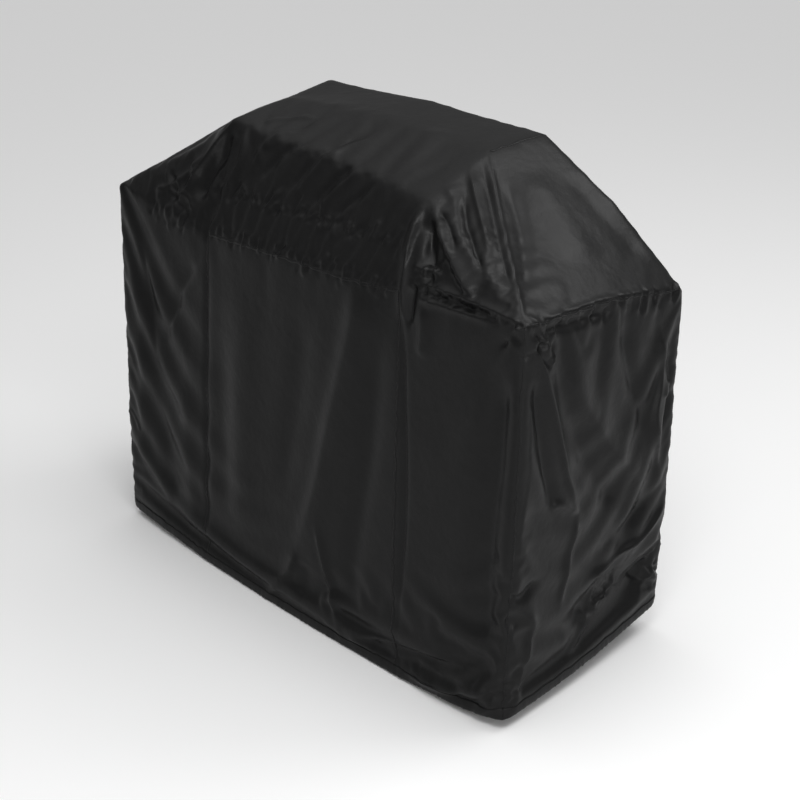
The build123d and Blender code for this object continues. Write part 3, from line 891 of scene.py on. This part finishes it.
def on_cloth(point):
    """Where a point of the pattern hangs, and the cloth's outward normal there."""
    near, _, face, _ = cloth_finder.find_nearest(Vector(point))
    near = np.array(near)
    corners = sound_faces[face]
    a, b, c = original[corners]
    whole = np.cross(b - a, c - a)
    shares = np.array([np.cross(b - near, c - near) @ whole, np.cross(c - near, a - near) @ whole,
                       np.cross(a - near, b - near) @ whole])
    shares = np.clip(shares / max(whole @ whole, 1e-16), 0, 1)
    shares /= max(shares.sum(), 1e-9)
    if not 0.5 < shares.sum() < 1.5:
        shares = np.array([1.0, 0.0, 0.0])
    return shares @ cloth[corners], unit(shares @ cloth_normals[corners])


def cut_size(outline):
    """The smallest rectangle around a flat outline, and the outline's own area."""
    corners = [np.array(c, float) for c in outline]
    normal = np.cross(corners[1] - corners[0], corners[-1] - corners[0])
    normal /= np.linalg.norm(normal)
    area = 0.5 * abs(sum(np.cross(a, b) for a, b in zip(corners, corners[1:] + corners[:1])) @ normal)
    best = None
    for a, b in zip(corners, corners[1:] + corners[:1]):
        along = (b - a) / np.linalg.norm(b - a)
        across = np.cross(normal, along)
        spans = [np.ptp([c @ axis for c in corners]) for axis in (along, across)]
        if best is None or spans[0] * spans[1] < best[0] * best[1]:
            best = spans
    return best, area


def add_panel(name, material):
    """One panel of the hanging cloth, with its thickness and the flat cut as its UV map.

    The normals are those of the whole cloth, so that its shading runs on over the seams.
    """
    mine = np.flatnonzero(panel_of_face == pattern.names.index(name))
    used, local = np.unique(faces[mine], return_inverse=True)
    outer = local.reshape(-1, 3)
    cut = flat[mine]
    normal = cloth_normals[used]
    count = len(used)
    starts, ends = outer.ravel(), np.roll(outer, -1, 1).ravel()
    start_cut, end_cut = cut.reshape(-1, 2), np.roll(cut, -1, 1).reshape(-1, 2)
    rim = ~np.isin(starts * count + ends, ends * count + starts)
    a, b, cut_a, cut_b = starts[rim], ends[rim], start_cut[rim], end_cut[rim]
    triangles = np.vstack([
        outer, outer[:, ::-1] + count,
        np.stack([b, a, a + count], 1), np.stack([b, a + count, b + count], 1),
    ])
    cuts = np.vstack([
        cut, cut[:, ::-1], np.stack([cut_b, cut_a, cut_a], 1), np.stack([cut_b, cut_a, cut_b], 1),
    ])
    points = np.vstack([cloth[used], cloth[used] - normal * CLOTH_THICKNESS])
    panel = mesh_object(name + "_cloth", points, triangles)
    uv = panel.data.uv_layers.new(name="cut")
    uv.data.foreach_set("uv", cuts.reshape(-1).astype(np.float32))
    p, q, r = (points[triangles[:, k]] for k in range(3))
    facing = np.cross(q - p, r - p)
    facing /= np.maximum(np.linalg.norm(facing, axis=1, keepdims=True), 1e-12)
    corner_normals = np.repeat(facing[:, None], 3, 1)
    corner_normals[:len(outer)] = normal[outer]
    corner_normals[len(outer):2 * len(outer)] = -normal[outer[:, ::-1]]
    panel.data.normals_split_custom_set(corner_normals.reshape(-1, 3).tolist())
    panel.data.materials.append(material)
    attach(panel, "root")
    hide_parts(name)
    return panel


# ---------------------------------------------------------------------------
# Hem: a folded band with a tunnel for the elastic, along the cloth's lower edge
# ---------------------------------------------------------------------------
HEM_PUFF = 0.0016


def hem_section(s, corners):
    """Where the hem band's outer and inner faces pass, at share s of one wall's length."""
    start, end = np.array(corners[0]), np.array(corners[1])
    foot_point = start + (end - start) * s
    travelled = np.linalg.norm(foot_point[:2])
    outer, inner = [], []
    for t in (0.97, 0.86, 0.68, 0.50, 0.32, 0.14, 0.03):
        place, normal = on_cloth(foot_point + np.array([0, 0, HEM_Z * t]))
        angle = 96 * (foot_point[0] - foot_point[1])
        wander = 3 * math.sin(0.7 * angle)
        pucker = 0.0007 * math.sin(2.1 * angle + wander) + 0.0005 * math.sin(4.3 * angle + 9 * travelled)
        puff = math.sin(math.pi * t) ** 0.6 * HEM_PUFF
        outer.append(place + normal * (puff + pucker * (1 - t) - 0.0002))
        inner.append(place - normal * (puff + 0.0012) + np.array([0, 0, 0.0006]))
    return outer + inner[::-1]


def strip_mesh(name, sections, closed_section, closed_run=False):
    """A skin over a run of cross-sections that all have the same number of points."""
    count, size = len(sections), len(sections[0])
    points = np.array(sections).reshape(-1, 3)
    quads = []
    for i in range(count if closed_run else count - 1):
        for j in range(size if closed_section else size - 1):
            a, b = i * size + j, i * size + (j + 1) % size
            c, d = ((i + 1) % count) * size + (j + 1) % size, ((i + 1) % count) * size + j
            quads.append((a, b, c, d))
    return mesh_object(name, points, np.array(quads))


def add_hem(name, material):
    corners = outlines[name][:2]
    length = math.dist(*corners)
    count = round(length / 0.006)
    sections = [hem_section(k / count, corners) for k in range(count + 1)]
    hem = strip_mesh(name + "_band", sections, False)
    hem.data.materials.append(material)
    thicken = hem.modifiers.new("thickness", "SOLIDIFY")
    thicken.thickness = CLOTH_THICKNESS
    thicken.offset = 1
    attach(hem, "root")
    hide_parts(name)
    run = np.array(sections)
    around = np.linalg.norm(np.diff(run, axis=1), axis=2).sum(1).mean()
    return hem, (around, length)


def add_elastic(material):
    """The elastic band, a closed loop inside the four hems."""
    sections = []
    for name in ("front_hem", "right_hem", "back_hem", "left_hem"):
        start, end = (np.array(c) for c in outlines[name][:2])
        count = round(np.linalg.norm(end - start) / 0.012)
        for k in range(count):
            foot_point = start + (end - start) * k / count
            places = []
            for t in (0.29, 0.5, 0.71):
                place, normal = on_cloth(foot_point + np.array([0, 0, HEM_Z * t]))
                places.append((place, normal))
            ring = [place - normal * 0.0001 for place, normal in places]
            ring += [place - normal * 0.0013 for place, normal in places[::-1]]
            sections.append(ring)
    elastic = strip_mesh("hem_elastic_band", sections, True, True)
    elastic.data.materials.append(material)
    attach(elastic, "root")
    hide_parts("hem_elastic")
    return elastic


# ---------------------------------------------------------------------------
# Seams: inside, a binding tape; outside, a lapped fold and a row of stitches
# ---------------------------------------------------------------------------
def inside_panel(panel_name, start, end):
    """The direction in the pattern that points from a seam into one of its panels."""
    corners = [np.array(c, float) for c in outlines[panel_name]]
    along = unit(np.array(end) - np.array(start))
    toward = np.mean(corners, axis=0) - np.array(start)
    return unit(toward - (toward @ along) * along)


def seam_strip(name, start, end, direction, near, width, lift, thickness, margin, step=0.009):
    """A thin tape on the cloth beside a seam; lift below 0 puts it on the inside."""
    start, end = np.array(start, float), np.array(end, float)
    length = np.linalg.norm(end - start)
    along = (end - start) / length
    count = max(4, round((length - 2 * margin) / step))
    sections = []
    for k in range(count + 1):
        middle = start + along * (margin + (length - 2 * margin) * k / count)
        upper, lower = [], []
        for share in (0.0, 0.5, 1.0):
            place, normal = on_cloth(middle + direction * (near + width * share))
            upper.append(place + normal * (lift + thickness * (1.0, 1.0, 0.4)[round(2 * share)]))
            lower.append(place + normal * lift)
        sections.append(upper + lower[::-1])
    return strip_mesh(name, sections, True)


def cap_ends(obj):
    """Closes the two open ends of a strip."""
    mesh = bmesh.new()
    mesh.from_mesh(obj.data)
    bmesh.ops.holes_fill(mesh, edges=[e for e in mesh.edges if e.is_boundary], sides=0)
    bmesh.ops.recalc_face_normals(mesh, faces=mesh.faces)
    mesh.to_mesh(obj.data)
    mesh.free()


def add_binding(name, panel_name, start, end, material):
    direction = inside_panel(panel_name, start, end)
    near = 0.0012
    width = TAPE_WIDTH * (CORNER_TAPE_WIDENED if "corner" in name else TAPE_WIDENED)
    tape = seam_strip(name + "_tape", start, end, direction, near, width, -0.0022, 0.0009, 0.012)
    cap_ends(tape)
    tape.data.materials.append(material)
    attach(tape, "root")
    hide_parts(name)
    return tape


def add_lap(name, panel_name, start, end, material):
    """The outside fold of a lapped seam, one cloth thickness proud of the panel."""
    direction = inside_panel(panel_name, start, end)
    lap = seam_strip(name + "_lap", start, end, direction, -0.0006, LAP_WIDTH, -0.0002, 0.0006, 0.001)
    cap_ends(lap)
    lap.data.materials.append(material)
    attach(lap, "root")
    return lap


def add_stitches(name, rows, material):
    """Rows of thread stitches, each a small rounded bar pressed into the cloth."""
    points, triangles = [], []
    for start, end, direction, near, lift in rows:
        start, end = np.array(start, float), np.array(end, float)
        length = np.linalg.norm(end - start)
        along = (end - start) / length
        count = int(length / STITCH_PITCH)
        for k in range(count):
            base = start + direction * near
            a, normal = on_cloth(base + along * (k + 0.12) * STITCH_PITCH)
            b, _ = on_cloth(base + along * (k + 0.86) * STITCH_PITCH)
            side = np.cross(normal, b - a)
            side *= 0.00035 / max(np.linalg.norm(side), 1e-9)
            middle = (a + b) / 2 + normal * lift
            first = len(points)
            points += [a + normal * (lift - 0.0005), middle + side, middle + normal * 0.0005, middle - side,
                       b + normal * (lift - 0.0005), middle - normal * 0.0004]
            triangles += [[first + v for v in t] for t in (
                (0, 1, 2), (0, 2, 3), (4, 2, 1), (4, 3, 2), (0, 5, 1), (0, 3, 5), (4, 1, 5), (4, 5, 3))]
    stitches = mesh_object(name, np.array(points), np.array(triangles))
    stitches.data.materials.append(material)
    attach(stitches, "root")
    return stitches


# How many times longer than its CAD panel a pleated panel is cut
FULLNESS = {"front_right_gusset": 1.3}
TAPE_WIDTH = 0.018
# Tapes are laid wider on the pattern, because the cloth there is drawn together
TAPE_WIDENED = 1.1
CORNER_TAPE_WIDENED = 1.3
LAP_WIDTH = 0.0070
STITCH_PITCH = 0.0055
# Each seam: name, the panel that its tape and its lap lie on, and its two ends
SEAMS = []
for wall_name, wall in (("front", FRONT), ("back", BACK)):
    for side_name, side in (("left", LEFT), ("right", RIGHT)):
        SEAMS.append((f"{wall_name}_{side_name}_seam_binding", f"{wall_name}_centre_panel",
                      foot(side, wall, HOOD_X), shelf(side, wall, HOOD_X)))
        SEAMS.append((f"{wall_name}_{side_name}_corner_binding", f"{side_name}_end_panel",
                      foot(side, wall), shelf(side, wall)))
for side_name, side in (("left", LEFT), ("right", RIGHT)):
    slope = f"{side_name}_slope_panel"
    SEAMS.append((f"{side_name}_shelf_seam_binding", slope, shelf(side, FRONT), shelf(side, BACK)))
    SEAMS.append((f"{side_name}_top_seam_binding", slope, top_front(side), top_back(side)))
for seam, panel_name, wall in (
    ("hood_front_seam_binding", "hood_face_panel", FRONT),
    ("hood_back_seam_binding", "hood_back_panel", BACK),
):
    SEAMS.append((seam, panel_name, shelf(LEFT, wall, HOOD_X), shelf(RIGHT, wall, HOOD_X)))
# Seams that have a lap and stitches but no tape of their own. The pleated ones at
# the hood's front corners are turned inside, so nothing of them shows.
PLAIN_SEAMS = []
for side_name, side in (("left", LEFT), ("right", RIGHT)):
    PLAIN_SEAMS += [
        (f"back_{side_name}_gusset_seam", f"back_{side_name}_gusset",
         shelf(side, BACK, HOOD_X), shelf(side, BACK)),
        (f"back_{side_name}_ridge_seam", f"{side_name}_slope_panel", top_back(side), shelf(side, BACK)),
        (f"back_{side_name}_hood_seam", f"back_{side_name}_gusset",
         shelf(side, BACK, HOOD_X), top_back(side)),
    ]

fabric = cloth_material("coated_taffeta", 0.0075, 0.36, 0.0011, 0.004, 0.19)
hem_fabric = cloth_material("hem_taffeta", 0.0080, 0.38, 0.0011, 0.005, 0.20)
tape_cloth = cloth_material("binding_twill", 0.014, 0.75, 0.0016, 0.001, 0.2)
thread = thread_material()
rubber = elastic_material()

panels = {}
for panel_name in pattern.names:
    if not panel_name.endswith("_hem"):
        panels[panel_name] = add_panel(panel_name, fabric)
hems = {}
for hem_name in ("front_hem", "right_hem", "back_hem", "left_hem"):
    hems[hem_name] = add_hem(hem_name, hem_fabric)
elastic = add_elastic(rubber)

stitch_rows = []
for seam_name, panel_name, start, end in SEAMS + PLAIN_SEAMS:
    direction = inside_panel(panel_name, start, end)
    if seam_name.endswith("_binding"):
        tape = add_binding(seam_name, panel_name, start, end, tape_cloth)
    lap_name = seam_name.replace("_binding", "")
    add_lap(lap_name, panel_name, start, end, fabric)
    stitch_rows.append((start, end, direction, 0.0040, 0.0005))
hem_rows = []
for hem_name in hems:
    corners = outlines[hem_name]
    start, end = (np.array(c) + np.array([0, 0, HEM_Z]) for c in corners[:2])
    hem_rows.append((start, end, np.array([0, 0, 1.0]), 0.0022, 0.0004))
add_stitches("seam_stitching", stitch_rows, thread)
add_stitches("hem_stitching", hem_rows, thread)

# ---------------------------------------------------------------------------
# What each sheet of cloth was cut to, before it was hung
# ---------------------------------------------------------------------------
for panel_name, panel in panels.items():
    size, area = cut_size(outlines[panel_name])
    fullness = FULLNESS.get(panel_name, 1.0)
    size, area = (size[0] * fullness, size[1]), area * fullness
